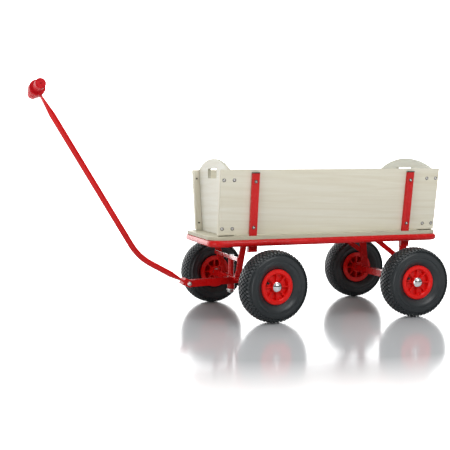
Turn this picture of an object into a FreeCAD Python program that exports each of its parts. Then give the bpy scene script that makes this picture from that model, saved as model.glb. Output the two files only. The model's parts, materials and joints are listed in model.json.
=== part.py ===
import FreeCAD, Part
import math
import os
from FreeCAD import Vector

# Hand wagon with a steered front axle, a plywood box and a T-handle.
# Millimetres. +Z is up and the wagon faces -X, so its left side is -Y and its right side is +Y.
# The origin is on the ground, half way between the front and rear axles.
# The tubular frame slopes down to the front by frame_slope about the rear axle, and the box,
# the deck and the rear axle carrier follow it. The steering head and its kingpin stand upright.
# The front axle is drawn straight ahead and then turned by steer_angle about the kingpin.

# ---------------------------------------------------------------- driving dimensions
# Running gear
wheelbase = 600.0
track = 500.0
wheel_radius = 130.0
tyre_width = 85.0
frame_slope = 0.9
steer_angle = 9.9

# Tubular frame and deck
rail_spacing = 376.0
rail_diameter = 25.0
rail_wall = 2.0
rail_height = 290.0
rail_front_overhang = 164.0
rail_rear_overhang = 133.0
rail_corner = 38.0
cross_member_share = 0.25
cross_member_width = 30.0
cross_member_depth = 12.0
deck_thickness = 12.0
deck_overhang = 9.0
deck_side_margin = 3.0
deck_corner = 50.0
deck_bolt_diameter = 6.0
deck_nut_flats = 10.0
deck_nut_height = 5.0
deck_bolt_head_diameter = 13.2
deck_bolt_dome = 3.0

# Box
box_front_overhang = 136.8
box_rear_overhang = 132.2
box_height = 238.6
side_lean = 9.6
board_thickness = 10.0
board_corner = 4.0
board_gap = 4.0
end_board_thickness = 12.0
end_arch_rise = 41.0
hand_slot_length = 115.0
hand_slot_height = 37.0
hand_slot_drop = 55.0
hand_slot_corner = 8.0
batten_width = 24.0
batten_thickness = 12.0
batten_setback = 0.0
slot_clearance = 1.0
screw_diameter = 4.0
screw_head_diameter = 12.0
screw_head_height = 2.4
screw_nut_diameter = 6.4
screw_nut_height = 2.0
upper_screw_drop = 38.0
lower_screw_rise = 27.0

# Stakes and sockets
front_stake_lead = 10.0
rear_stake_lag = 6.0
stake_width = 27.0
stake_thickness = 12.0
stake_drop = 15.0
socket_wall = 3.0
socket_clearance = 0.3
socket_depth = 48.0
stake_foot_gap = 3.0
plug_height = 4.0
bolt_diameter = 6.0
bolt_head_diameter = 12.0
bolt_head_height = 4.0
cap_nut_diameter = 10.8
cap_nut_height = 3.5
upper_bolt_drop = 44.0
lower_bolt_rise = 30.0

# Rear axle carrier
axle_diameter = 16.0
beam_size = 25.0
beam_end_gap = 2.5
axle_washer_width = 5.0
axle_end_reach = 4.0
leg_width = 28.0
leg_thickness = 10.0
weld_depth = 2.0
brace_width = 18.0
brace_thickness = 8.0
brace_reach = 125.0
brace_foot = 201.0

# Steering head
kingpin_lead = 40.0
kingpin_diameter = 12.0
head_plate_width = 30.0
head_plate_half_length = 95.0
head_plate_thickness = 5.0
head_plate_floor = 139.8
head_tube_diameter = 22.0
head_tube_height = 68.0
strut_width = 22.0
strut_thickness = 9.0
strut_foot = 84.0
strut_lead = 10.0
head_bar_height = 14.0
head_bar_thickness = 5.0
head_bar_level = 218.0
kingpin_flats = 19.0
kingpin_head_height = 7.5
kingpin_nut_flats = 24.0
kingpin_nut_height = 10.0
kingpin_washer_radius = 17.0
kingpin_washer_height = 3.0
kingpin_tail = 2.2

# Front axle and drawbar
front_beam_top = 139.2
sleeve_diameter = 27.0
sleeve_floor = 91.0
washer_thickness = 1.5
washer_rim = 2.0
drawbar_width = 30.0
drawbar_height = 25.0
drawbar_wall = 2.5
drawbar_reach = 180.5
drawbar_pivot_height = 120.0
drawbar_root_height = 124.0
gusset_reach = 70.0
gusset_thickness = 6.0

# Handle
handle_tube_diameter = 22.0
handle_tube_wall = 1.8
handle_lower_length = 222.0
handle_upper_length = 680.0
handle_lower_pitch = 28.8
handle_upper_pitch = 58.0
handle_bend_radius = 200.0
pinch_thickness = 7.0
pinch_width = 30.0
pinch_inset = 0.25
pinch_ovality = 0.02
upper_pinch_length = 70.0
lower_pinch_length = 50.0
clevis_thickness = 4.0
clevis_side_gap = 0.5
clevis_reach = 21.0
pivot_bolt_diameter = 10.0
pivot_head_diameter = 17.0
pivot_head_height = 5.0
pivot_washer_width = 5.0
pivot_washer_height = 2.0
pivot_nut_flats = 16.0
pivot_nut_height = 7.0
pivot_bolt_tail = 1.0
grip_length = 160.0
grip_diameter = 35.0
grip_disc_diameter = 54.0
grip_disc_width = 44.0
grip_rounding = 2.5
grip_disc_rounding = 4.0
grip_groove_width = 3.0
grip_groove_depth = 2.5
grip_socket_depth = 3.0
grip_dimple_radius = 2.2
grip_dimple_depth = 3.0
grip_twist = 1.7
grip_tilt = 8.4

# Wheels
bead_radius = 51.0
rim_flange_radius = 63.5
rim_width = 62.0
flange_thickness = 6.0
dish_radius = 50.0
dish_depth = 17.0
disc_thickness = 5.0
rim_wall = 4.5
dish_lip_depth = 4.0
dish_lip_step = 3.5
dish_floor_step = 1.0
flange_rounding = 3.0
hub_radius = 21.0
hub_outer_reach = 26.0
hub_inner_reach = 8.0
hub_rounding = 1.0
rib_count = 8
rib_thickness = 3.6
rib_drop = 4.0
rib_root = 1.0
rib_hub_overlap = 3.0
valve_hole_radius = 5.7
valve_place = 40.0
valve_angle = 22.5
tyre_wall = 8.0
tyre_tread_depth = 2.0
tyre_shoulder = 6.5
tyre_flare = 0.8
tyre_belly_rise = 4.0
tyre_lining_step = 4.0
tyre_lining_corner = 12.0
tyre_lining_drop = 8.0
bushing_wall = 3.0
bushing_length = 20.0
hub_cap_radius = 18.5
hub_cap_dome = 9.0
hub_cap_wall = 1.0
hub_side_gap = 0.5

# Fits
running_clearance = 0.06
seat_gap = 0.3
overcut = 1.0

# ---------------------------------------------------------------- derived places
X_AXIS = Vector(1, 0, 0)
Y_AXIS = Vector(0, 1, 0)
Z_AXIS = Vector(0, 0, 1)
FRONT = -1
REAR = 1
LEFT = -1
RIGHT = 1
SIDE_NAMES = {RIGHT: "right", LEFT: "left"}
END_NAMES = {FRONT: "front", REAR: "rear"}

rail_radius = rail_diameter / 2
axle_radius = axle_diameter / 2
kingpin_radius = kingpin_diameter / 2
rear_axle_x = wheelbase / 2
front_axle_x = -wheelbase / 2
rail_front = front_axle_x - rail_front_overhang
rail_rear = rear_axle_x + rail_rear_overhang
cross_member_places = (-wheelbase * cross_member_share, wheelbase * cross_member_share)
front_stake = front_axle_x - front_stake_lead
rear_stake = rear_axle_x + rear_stake_lag
kingpin_x = front_axle_x - kingpin_lead
deck_bottom = rail_height + rail_radius
deck_top = deck_bottom + deck_thickness
box_top = deck_top + box_height
box_front = front_axle_x - box_front_overhang
box_rear = rear_axle_x + box_rear_overhang
lean_tangent = math.tan(math.radians(side_lean))
lean_cosine = math.cos(math.radians(side_lean))
rail_inner_side = rail_spacing / 2 - rail_radius
stake_outer_at_rail = rail_inner_side - (socket_wall + socket_clearance) / lean_cosine
end_slot_width = end_board_thickness + 2 * slot_clearance
hub_inner = track / 2 - rim_width / 2 - hub_inner_reach
beam_half_length = hub_inner - hub_side_gap - beam_end_gap
rear_beam_top = wheel_radius + beam_size / 2


def leaning_face(height, outward):
    """Distance from the centre plane to a leaning plane, at a height in the level frame.

    The plane lies outward of the outer face of the stakes, square to that face.
    """
    return stake_outer_at_rail + (height - rail_height) * lean_tangent + outward / lean_cosine


board_outward = -stake_thickness
batten_outward = board_outward - board_thickness
batten_inner_outward = batten_outward - batten_thickness


# ---------------------------------------------------------------- helpers
def write(node, shape):
    """Export one node."""
    shape.exportStep("parts/" + node + ".step")


def block(x0, x1, y0, y1, z0, z1):
    """Box between two opposite corners."""
    return Part.makeBox(x1 - x0, y1 - y0, z1 - z0, Vector(x0, y0, z0))


def rod(radius, start, axis, length):
    """Cylinder from a point along an axis."""
    return Part.makeCylinder(radius, length, start, axis)


def pipe(radius, bore, start, axis, length):
    """Hollow cylinder."""
    return rod(radius, start, axis, length).cut(rod(bore, start, axis, length))


def prism(points, direction):
    """Solid of a polygon pushed along a direction."""
    outline = Part.makePolygon(list(points) + [points[0]])
    return Part.Face(outline).extrude(direction)


def hexagon(across_flats, start, axis, height):
    """Hexagonal prism, for bolt heads and nuts."""
    corner = across_flats / math.sqrt(3)
    points = []
    for turn in range(6):
        angle = math.radians(60 * turn)
        points.append(Vector(corner * math.cos(angle), corner * math.sin(angle), 0))
    solid = prism(points, Vector(0, 0, height))
    return solid.transformed(along_axis(start, axis))


def along_axis(start, axis):
    """Matrix that takes +Z at the origin to an axis at a point."""
    turn = FreeCAD.Rotation(Z_AXIS, axis)
    return FreeCAD.Placement(start, turn).toMatrix()


def dome(radius, height, start, axis):
    """Spherical cap with its flat side at start."""
    ball_radius = (radius ** 2 + height ** 2) / (2 * height)
    ball = Part.makeSphere(ball_radius, Vector(0, 0, height - ball_radius))
    limit = Part.makeCylinder(radius * 1.2, height * 1.5)
    return ball.common(limit).transformed(along_axis(start, axis))


def bar(start, end, width, thickness, width_axis):
    """Rectangular bar between two points, with its width along width_axis."""
    along = end - start
    length = along.Length
    along.normalize()
    across = width_axis - along * width_axis.dot(along)
    across.normalize()
    normal = along.cross(across)
    corner = start - across * (width / 2) - normal * (thickness / 2)
    points = [corner, corner + across * width]
    points.append(points[1] + normal * thickness)
    points.append(corner + normal * thickness)
    return prism(points, along * length)


def slope_point(x, y, z):
    """Place in the world of a point of the level frame."""
    angle = math.radians(frame_slope)
    run = x - rear_axle_x
    rise = z - wheel_radius
    new_x = rear_axle_x + run * math.cos(angle) - rise * math.sin(angle)
    new_z = wheel_radius + rise * math.cos(angle) + run * math.sin(angle)
    return Vector(new_x, y, new_z)


def on_frame(shape):
    """Turn a shape drawn in the level frame down to the frame's slope."""
    turned = shape.copy()
    turned.rotate(Vector(rear_axle_x, 0, wheel_radius), Y_AXIS, -frame_slope)
    return turned


def steered(shape):
    """Turn a shape of the front axle about the kingpin."""
    turned = shape.copy()
    turned.rotate(Vector(kingpin_x, 0, 0), Z_AXIS, steer_angle)
    return turned


def bent_rod(points, bend_radius, radius):
    """Round bar along straight runs joined by tangent arcs."""
    pieces = []
    start = points[0]
    for index in range(1, len(points) - 1):
        before = points[index] - points[index - 1]
        after = points[index + 1] - points[index]
        before.normalize()
        after.normalize()
        turn = before.getAngle(after)
        tangent = bend_radius * math.tan(turn / 2)
        bend_start = points[index] - before * tangent
        pieces.append(rod(radius, start, before, (bend_start - start).Length))
        normal = before.cross(after)
        normal.normalize()
        centre = bend_start + normal.cross(before) * bend_radius
        section = Part.Face(Part.Wire(Part.makeCircle(radius, bend_start, before)))
        pieces.append(section.revolve(centre, normal, math.degrees(turn)))
        start = points[index] + after * tangent
    last = points[-1] - start
    length = last.Length
    last.normalize()
    pieces.append(rod(radius, start, last, length))
    return pieces[0].multiFuse(pieces[1:]).removeSplitter()


def rail_loop(radius):
    """Closed rectangular loop of round bar with rounded corners, in the level frame."""
    half = rail_spacing / 2
    halves = []
    for side in (RIGHT, LEFT):
        points = [Vector(rail_front, 0, rail_height), Vector(rail_front, side * half, rail_height)]
        points.append(Vector(rail_rear, side * half, rail_height))
        points.append(Vector(rail_rear, 0, rail_height))
        halves.append(bent_rod(points, rail_corner, radius))
    return halves[0].fuse(halves[1]).removeSplitter()


def leaning_slab(outward_inner, outward_outer, x0, x1, bottom, top):
    """Slab parallel to the leaning sides, on the right, with level top and bottom faces."""
    points = [
        Vector(x0, leaning_face(bottom, outward_inner), bottom),
        Vector(x0, leaning_face(bottom, outward_outer), bottom),
        Vector(x0, leaning_face(top, outward_outer), top),
        Vector(x0, leaning_face(top, outward_inner), top),
    ]
    return prism(points, Vector(x1 - x0, 0, 0))


def on_side(shape, side):
    """Mirror a shape drawn on the right to the side that is asked for."""
    if side == RIGHT:
        return shape
    return shape.mirror(Vector(0, 0, 0), Y_AXIS)


def lean_normal():
    """Unit vector out of the right side's leaning face."""
    angle = math.radians(side_lean)
    return Vector(0, math.cos(angle), -math.sin(angle))


def side_point(x, height, outward):
    """Point on a leaning plane of the right side, in the level frame."""
    return Vector(x, leaning_face(height, outward), height)


# ---------------------------------------------------------------- frame and deck
def make_rails():
    """Tubular ring that carries the deck."""
    outer = rail_loop(rail_radius)
    inner = rail_loop(rail_radius - rail_wall)
    return outer.cut(inner)


def deck_bolt_places():
    """Places of the bolts that hold the deck to its cross members."""
    places = []
    for x in cross_member_places:
        for y in (-rail_spacing / 4, 0.0, rail_spacing / 4):
            places.append((x, y))
    return places


def make_cross_members():
    """Flat bars across the frame, under the deck."""
    ring = rail_loop(rail_radius)
    members = []
    for x in cross_member_places:
        half = rail_spacing / 2 - rail_radius / 2
        x0 = x - cross_member_width / 2
        bottom = deck_bottom - cross_member_depth
        member = block(x0, x0 + cross_member_width, -half, half, bottom, deck_bottom).cut(ring)
        for bolt_x, bolt_y in deck_bolt_places():
            start = Vector(bolt_x, bolt_y, bottom)
            member = member.cut(rod(deck_bolt_diameter / 2, start, Z_AXIS, cross_member_depth))
        members.append(member)
    return Part.makeCompound(members)


def stake_envelope(margin, bottom, top):
    """Outer shape of both right stakes, grown by a margin on every side."""
    shapes = []
    for x in (front_stake, rear_stake):
        half = stake_width / 2 + margin
        shapes.append(leaning_slab(-stake_thickness - margin, margin, x - half, x + half, bottom, top))
    return shapes


def make_deck():
    """Plywood deck with a slot for each stake."""
    x0 = rail_front - deck_overhang
    x1 = rail_rear + deck_overhang
    half = rail_spacing / 2 + deck_side_margin
    deck = block(x0, x1, -half, half, deck_bottom, deck_top)
    uprights = [edge for edge in deck.Edges if abs(edge.tangentAt(edge.FirstParameter).z) > 0.99]
    deck = deck.makeFillet(deck_corner, uprights)
    for side in (RIGHT, LEFT):
        for slot in stake_envelope(socket_clearance, deck_bottom - overcut, deck_top + overcut):
            deck = deck.cut(on_side(slot, side))
    for x, y in deck_bolt_places():
        deck = deck.cut(rod(deck_bolt_diameter / 2, Vector(x, y, deck_bottom), Z_AXIS, deck_thickness))
    return deck


def make_deck_bolts():
    """Round-headed bolts through the deck and its cross members, with nuts below."""
    bolts = []
    for x, y in deck_bolt_places():
        bottom = deck_bottom - cross_member_depth
        shank_start = Vector(x, y, bottom - deck_nut_height)
        shank = rod(deck_bolt_diameter / 2, shank_start, Z_AXIS, deck_top - shank_start.z)
        head = dome(deck_bolt_head_diameter / 2, deck_bolt_dome, Vector(x, y, deck_top), Z_AXIS)
        nut = hexagon(deck_nut_flats, shank_start, Z_AXIS, deck_nut_height)
        bolts.append(shank.multiFuse([head, nut]).removeSplitter())
    return Part.makeCompound(bolts)


def make_sockets():
    """Sleeves welded inside the rails, one for each stake."""
    ring = rail_loop(rail_radius)
    sockets = []
    bottom = deck_bottom - socket_depth
    for side in (RIGHT, LEFT):
        outers = stake_envelope(socket_clearance + socket_wall, bottom, deck_bottom)
        inners = stake_envelope(socket_clearance, bottom - overcut, deck_bottom + overcut)
        for outer, inner in zip(outers, inners):
            sockets.append(on_side(outer.cut(inner), side).cut(ring))
    return Part.makeCompound(sockets)


# ---------------------------------------------------------------- rear axle carrier
def leg_centre(height):
    """Distance from the centre plane to the middle of a rear leg."""
    top_centre = rail_inner_side + weld_depth - leg_thickness / 2 / lean_cosine
    return top_centre - (rail_height - height) * lean_tangent


def make_rear_legs():
    """Legs from the rear sockets down to the rear axle beam, parallel to the stakes."""
    top = deck_bottom - socket_depth
    bottom = rear_beam_top
    legs = []
    for side in (RIGHT, LEFT):
        start = Vector(rear_axle_x, side * leg_centre(bottom - leg_width), bottom - leg_width)
        end = Vector(rear_axle_x, side * leg_centre(top + leg_width), top + leg_width)
        leg = bar(start, end, leg_width, leg_thickness, X_AXIS)
        legs.append(leg.common(block(0, wheelbase, -rail_spacing, rail_spacing, bottom, top)))
    return Part.makeCompound(legs)


def make_rear_braces():
    """Diagonal bars from the rails back and down to the legs."""
    ring = rail_loop(rail_radius)
    leg_face = rear_axle_x - leg_width / 2
    braces = []
    for side in (RIGHT, LEFT):
        foot = Vector(rear_axle_x, side * leg_centre(brace_foot), brace_foot)
        head_y = side * (rail_inner_side + weld_depth)
        head = Vector(rear_axle_x - brace_reach, head_y, rail_height)
        brace = bar(foot, head, brace_width, brace_thickness, Vector(1, 0, 1)).cut(ring)
        brace = brace.common(block(0, leg_face, -rail_spacing, rail_spacing, 0, deck_bottom))
        braces.append(max(brace.Solids, key=lambda solid: solid.Volume))
    return Part.makeCompound(braces)


def square_tube_beam(x, top):
    """Axle beam with a bore for the axle along its length."""
    half = beam_size / 2
    beam = block(x - half, x + half, -beam_half_length, beam_half_length, top - beam_size, top)
    start = Vector(x, -beam_half_length, wheel_radius)
    return beam.cut(rod(axle_radius, start, Y_AXIS, 2 * beam_half_length))


def axle_half_length():
    """Distance from the centre plane to the end of an axle, inside its cap."""
    return track / 2 + hub_outer_reach + axle_end_reach


def make_axle(x):
    """Round axle through its beam and both wheels."""
    half = axle_half_length()
    return rod(axle_radius, Vector(x, -half, wheel_radius), Y_AXIS, 2 * half)


def make_axle_washers(x):
    """Washers on the axle between the beam and each hub."""
    washers = []
    for side in (RIGHT, LEFT):
        start = Vector(x, side * beam_half_length, wheel_radius)
        outer = axle_radius + axle_washer_width
        washers.append(pipe(outer, axle_radius, start, Y_AXIS * side, beam_end_gap))
    return Part.makeCompound(washers)


def make_hub_caps(x):
    """Domed push-on caps that keep the wheels on the axle."""
    caps = []
    inner = track / 2 + hub_outer_reach + hub_side_gap
    bore_depth = axle_half_length() - inner
    skirt = bore_depth + hub_cap_wall
    for side in (RIGHT, LEFT):
        start = Vector(x, side * inner, wheel_radius)
        cap = rod(hub_cap_radius, start, Y_AXIS * side, skirt)
        top = Vector(x, side * (inner + skirt), wheel_radius)
        cap = cap.fuse(dome(hub_cap_radius, hub_cap_dome, top, Y_AXIS * side)).removeSplitter()
        caps.append(cap.cut(rod(axle_radius, start, Y_AXIS * side, bore_depth)))
    return Part.makeCompound(caps)


# ---------------------------------------------------------------- steering head
def head_plate_top():
    """Upper face of the steering head's plate."""
    return head_plate_floor + head_plate_thickness


def strut_ends(side):
    """Foot and head of a strut's centre line."""
    foot = Vector(kingpin_x, side * strut_foot, head_plate_top())
    head = slope_point(kingpin_x - strut_lead, side * rail_spacing / 2, rail_height)
    return foot, head


def make_head_struts():
    """Leaning bars from the rails in and down to the head plate."""
    ring = on_frame(rail_loop(rail_radius))
    struts = []
    for side in (RIGHT, LEFT):
        foot, head = strut_ends(side)
        below = foot * 1.2 - head * 0.2
        strut = bar(below, head, strut_width, strut_thickness, X_AXIS).cut(ring)
        above_plate = block(-wheelbase, 0, -rail_spacing, rail_spacing, head_plate_top(), 2 * rail_height)
        strut = strut.common(above_plate)
        struts.append(max(strut.Solids, key=lambda solid: solid.Volume))
    return Part.makeCompound(struts)


def strut_share(height):
    """How far up a strut a height lies, from foot to head."""
    foot, head = strut_ends(RIGHT)
    return (height - foot.z) / (head.z - foot.z)


def make_head_bar():
    """Flat bar across the front of both struts, above the head plate."""
    foot, head = strut_ends(RIGHT)
    bottom = head_bar_level - head_bar_height / 2
    top = bottom + head_bar_height
    front_face = foot.x + (head.x - foot.x) * strut_share(top) - strut_width / 2
    half = foot.y + (head.y - foot.y) * strut_share(head_bar_level) + strut_thickness / 2
    return block(front_face - head_bar_thickness, front_face, -half, half, bottom, top)


def make_head_plate():
    """Plate at the foot of the struts that sits on the front axle's sleeve."""
    x0 = kingpin_x - head_plate_width / 2
    x1 = kingpin_x + head_plate_width / 2
    half = head_plate_half_length
    plate = block(x0, x1, -half, half, head_plate_floor, head_plate_top())
    bore = rod(kingpin_radius, Vector(kingpin_x, 0, head_plate_floor), Z_AXIS, head_plate_thickness)
    return plate.cut(bore)


def make_head_tube():
    """Upright tube on the head plate that holds the kingpin straight."""
    start = Vector(kingpin_x, 0, head_plate_top())
    return pipe(head_tube_diameter / 2, kingpin_radius, start, Z_AXIS, head_tube_height)


def kingpin_washer_floor():
    """Lower face of the washer under the sleeve."""
    return sleeve_floor - seat_gap - kingpin_washer_height


def make_kingpin():
    """Long bolt through the head tube and the front axle's sleeve."""
    bottom = kingpin_washer_floor() - kingpin_nut_height - kingpin_tail
    top = head_plate_top() + head_tube_height
    shank = rod(kingpin_radius, Vector(kingpin_x, 0, bottom), Z_AXIS, top - bottom)
    head = hexagon(kingpin_flats, Vector(kingpin_x, 0, top), Z_AXIS, kingpin_head_height)
    return shank.fuse(head).removeSplitter()


def make_kingpin_nut():
    """Washer and lock nut under the sleeve."""
    floor = kingpin_washer_floor()
    washer_start = Vector(kingpin_x, 0, floor)
    washer = pipe(kingpin_washer_radius, kingpin_radius, washer_start, Z_AXIS, kingpin_washer_height)
    nut_start = Vector(kingpin_x, 0, floor - kingpin_nut_height)
    nut = hexagon(kingpin_nut_flats, nut_start, Z_AXIS, kingpin_nut_height)
    nut = nut.cut(rod(kingpin_radius, nut_start, Z_AXIS, kingpin_nut_height))
    return washer.fuse(nut).removeSplitter()


# ---------------------------------------------------------------- front axle and drawbar
def make_sleeve():
    """Upright sleeve that turns on the kingpin."""
    height = head_plate_floor - seat_gap - washer_thickness - sleeve_floor
    start = Vector(kingpin_x, 0, sleeve_floor)
    return pipe(sleeve_diameter / 2, kingpin_radius + running_clearance, start, Z_AXIS, height)


def make_turntable_washer():
    """Plastic washer between the sleeve and the head plate."""
    start = Vector(kingpin_x, 0, head_plate_floor - seat_gap - washer_thickness)
    outer = sleeve_diameter / 2 + washer_rim
    return pipe(outer, kingpin_radius + running_clearance, start, Z_AXIS, washer_thickness)


def drawbar_direction():
    """Unit vector along the drawbar, from the kingpin forward."""
    direction = Vector(-drawbar_reach, 0, drawbar_pivot_height - drawbar_root_height)
    direction.normalize()
    return direction


def drawbar_pivot():
    """Centre of the handle's pivot bolt, with the front axle straight."""
    return Vector(kingpin_x - drawbar_reach, 0, drawbar_pivot_height)


def make_drawbar():
    """Rectangular tube from the axle beam past the sleeve to the handle's pivot."""
    direction = drawbar_direction()
    pivot = drawbar_pivot()
    back = pivot - direction * (drawbar_reach + kingpin_lead)
    outer = bar(back, pivot, drawbar_height, drawbar_width, Z_AXIS)
    inner_height = drawbar_height - 2 * drawbar_wall
    inner_start = pivot - direction * (drawbar_reach - sleeve_diameter)
    inner_end = pivot + direction * drawbar_height
    inner = bar(inner_start, inner_end, inner_height, drawbar_width - 2 * drawbar_wall, Z_AXIS)
    nose_start = pivot - Y_AXIS * (drawbar_width / 2)
    nose = rod(drawbar_height / 2, nose_start, Y_AXIS, drawbar_width)
    solid = outer.fuse(nose).removeSplitter().cut(inner)
    solid = solid.cut(rod(pivot_bolt_diameter / 2 + running_clearance, nose_start, Y_AXIS, drawbar_width))
    solid = solid.cut(rod(sleeve_diameter / 2, Vector(kingpin_x, 0, 0), Z_AXIS, 2 * wheel_radius))
    beam_face = front_axle_x - beam_size / 2
    solid = solid.common(block(-2 * wheelbase, beam_face, -track, track, 0, 2 * wheel_radius))
    return solid


def make_drawbar_gussets():
    """Triangular plates between the drawbar and the axle beam."""
    beam_face = front_axle_x - beam_size / 2
    bottom = front_beam_top - beam_size / 2 - gusset_thickness / 2
    front_face = beam_face - kingpin_lead + beam_size / 2
    gussets = []
    for side in (RIGHT, LEFT):
        inner = side * drawbar_width / 2
        points = [Vector(beam_face, inner, bottom), Vector(front_face, inner, bottom)]
        points.append(Vector(beam_face, inner + side * gusset_reach, bottom))
        gussets.append(prism(points, Vector(0, 0, gusset_thickness)))
    return Part.makeCompound(gussets)


# ---------------------------------------------------------------- handle
def handle_run(pitch):
    """Unit vector forward and up at a pitch, in the plane of the handle."""
    angle = math.radians(pitch)
    return Vector(-math.cos(angle), 0, math.sin(angle))


def handle_corner():
    """Point where the handle's two straight runs would meet."""
    return drawbar_pivot() + handle_run(handle_lower_pitch) * handle_lower_length


def grip_centre():
    """Middle of the grip's disc."""
    return handle_corner() + handle_run(handle_upper_pitch) * handle_upper_length


def grip_axis():
    """Direction of the grip: twisted about the handle's upper run and tilted along it."""
    upper = handle_run(handle_upper_pitch)
    twisted = FreeCAD.Rotation(upper, grip_twist).multVec(Y_AXIS)
    return FreeCAD.Rotation(twisted.cross(upper), -grip_tilt).multVec(twisted)


def pinched_end(start, end):
    """Tube end pressed flat, from the round section at start to a thin section at end."""
    along = end - start
    along.normalize()
    thin = along.cross(Y_AXIS)
    inside = start - along * handle_tube_wall
    wide = handle_tube_diameter / 2 - pinch_inset
    narrow = wide - pinch_ovality
    round_section = Part.Ellipse(inside + Y_AXIS * wide, inside + thin * narrow, inside)
    flat_section = Part.Ellipse(end + Y_AXIS * (pinch_width / 2), end + thin * (pinch_thickness / 2), end)
    outlines = [Part.Wire(section.toShape()) for section in (round_section, flat_section)]
    return Part.makeLoft(outlines, True, True)


def make_handle_tube():
    """Bent tube from the clevis to the grip, pressed flat at both ends."""
    lower = handle_run(handle_lower_pitch)
    upper = handle_run(handle_upper_pitch)
    flat_start = drawbar_pivot() + lower * (clevis_reach + clevis_thickness)
    round_start = flat_start + lower * lower_pinch_length
    flat_end = grip_centre() - upper * (grip_disc_diameter / 2 - grip_socket_depth)
    round_end = flat_end - upper * upper_pinch_length
    path = [round_start, handle_corner(), round_end]
    outer = bent_rod(path, handle_bend_radius, handle_tube_diameter / 2)
    inner = bent_rod(path, handle_bend_radius, handle_tube_diameter / 2 - handle_tube_wall)
    ends = [pinched_end(round_start, flat_start), pinched_end(round_end, flat_end)]
    tube = outer.cut(inner).multiFuse(ends)
    barrel_start = grip_centre() - grip_axis() * grip_disc_width
    barrel = rod(grip_disc_diameter / 2, barrel_start, grip_axis(), 2 * grip_disc_width)
    return tube.cut(barrel)


def rounded_rod(radius, start, axis, length, rounding):
    """Cylinder with both end edges rounded."""
    solid = rod(radius, start, axis, length)
    rims = [edge for edge in solid.Edges if isinstance(edge.Curve, Part.Circle)]
    return solid.makeFillet(rounding, rims)


def make_grip():
    """Plastic T-grip: two handles with a ringed disc between them."""
    axis = grip_axis()
    centre = grip_centre()
    start = centre - axis * (grip_length / 2)
    handles = rounded_rod(grip_diameter / 2, start, axis, grip_length, grip_rounding)
    start = centre - axis * (grip_disc_width / 2)
    disc = rounded_rod(grip_disc_diameter / 2, start, axis, grip_disc_width, grip_disc_rounding)
    solid = handles.fuse(disc)
    for turn in (-1, 1):
        groove_start = centre + axis * (turn * grip_disc_width / 4 - grip_groove_width / 2)
        floor = grip_disc_diameter / 2 - grip_groove_depth
        solid = solid.cut(pipe(grip_disc_diameter, floor, groove_start, axis, grip_groove_width))
        dimple = centre + axis * (turn * (grip_length / 2 - grip_dimple_depth))
        solid = solid.cut(rod(grip_dimple_radius, dimple, axis * turn, 2 * grip_dimple_depth))
    return solid


def clevis_half_width(with_walls):
    """Half the width between the clevis's ears, or over their outsides."""
    half = drawbar_width / 2 + clevis_side_gap
    return half + clevis_thickness if with_walls else half


def make_clevis():
    """Bent strap on the handle's lower end, astride the drawbar's nose."""
    pivot = drawbar_pivot()
    lower = handle_run(handle_lower_pitch)
    half = clevis_half_width(False)
    outer_half = clevis_half_width(True)
    height = drawbar_height
    width_axis = lower.cross(Y_AXIS)
    outer = bar(pivot, pivot + lower * (clevis_reach + clevis_thickness), height, 2 * outer_half, width_axis)
    eye_start = pivot - Y_AXIS * outer_half
    outer = outer.fuse(rod(height / 2, eye_start, Y_AXIS, 2 * outer_half)).removeSplitter()
    room = bar(pivot - lower * height, pivot + lower * clevis_reach, 2 * height, 2 * half, width_axis)
    return outer.cut(room).cut(rod(pivot_bolt_diameter / 2, eye_start, Y_AXIS, 2 * outer_half))


def make_pivot_bolt():
    """Bolt through the clevis and the drawbar, with a dome head on the left."""
    half = clevis_half_width(True)
    head_start = drawbar_pivot() - Y_AXIS * half
    length = 2 * half + pivot_washer_height + pivot_nut_height + pivot_bolt_tail
    shank = rod(pivot_bolt_diameter / 2, head_start, Y_AXIS, length)
    head = dome(pivot_head_diameter / 2, pivot_head_height, head_start, Y_AXIS * -1)
    return shank.fuse(head).removeSplitter()


def make_pivot_nut():
    """Washer and nut on the right end of the pivot bolt."""
    start = drawbar_pivot() + Y_AXIS * clevis_half_width(True)
    bore = pivot_bolt_diameter / 2
    washer = pipe(bore + pivot_washer_width, bore, start, Y_AXIS, pivot_washer_height)
    nut_start = start + Y_AXIS * pivot_washer_height
    nut = hexagon(pivot_nut_flats, nut_start, Y_AXIS, pivot_nut_height)
    nut = nut.cut(rod(bore, nut_start, Y_AXIS, pivot_nut_height))
    return washer.fuse(nut).removeSplitter()


# ---------------------------------------------------------------- box
def end_slot_centre(end):
    """Middle of the slot between the battens at one end of the box."""
    inset = batten_setback + batten_width + end_slot_width / 2
    return box_front + inset if end == FRONT else box_rear - inset


def batten_centres(end):
    """Middles of the two battens at one end of the box."""
    offset = (end_slot_width + batten_width) / 2
    middle = end_slot_centre(end)
    return middle - offset, middle + offset


def side_screw_places():
    """Places of the screws that hold the battens to a side board."""
    places = []
    for end in (FRONT, REAR):
        for x in batten_centres(end):
            for height in (box_top - upper_screw_drop, deck_top + lower_screw_rise):
                places.append((x, height))
    return places


def stake_bolt_places():
    """Places of the bolts that hold the stakes to a side board."""
    places = []
    for x in (front_stake, rear_stake):
        for height in (box_top - upper_bolt_drop, deck_top + lower_bolt_rise):
            places.append((x, height))
    return places


def screw_bores():
    """Bores for the batten screws, square to the right side's face, from the board inward."""
    bores = []
    for x, height in side_screw_places():
        start = side_point(x, height, board_outward)
        bores.append(rod(screw_diameter / 2, start, lean_normal() * -1, board_thickness + batten_thickness))
    return Part.makeCompound(bores)


def bolt_bores():
    """Bores for the stake bolts, square to the right side's face, from the stakes inward."""
    bores = []
    for x, height in stake_bolt_places():
        start = side_point(x, height, 0.0)
        bores.append(rod(bolt_diameter / 2, start, lean_normal() * -1, stake_thickness + board_thickness))
    return Part.makeCompound(bores)


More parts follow.
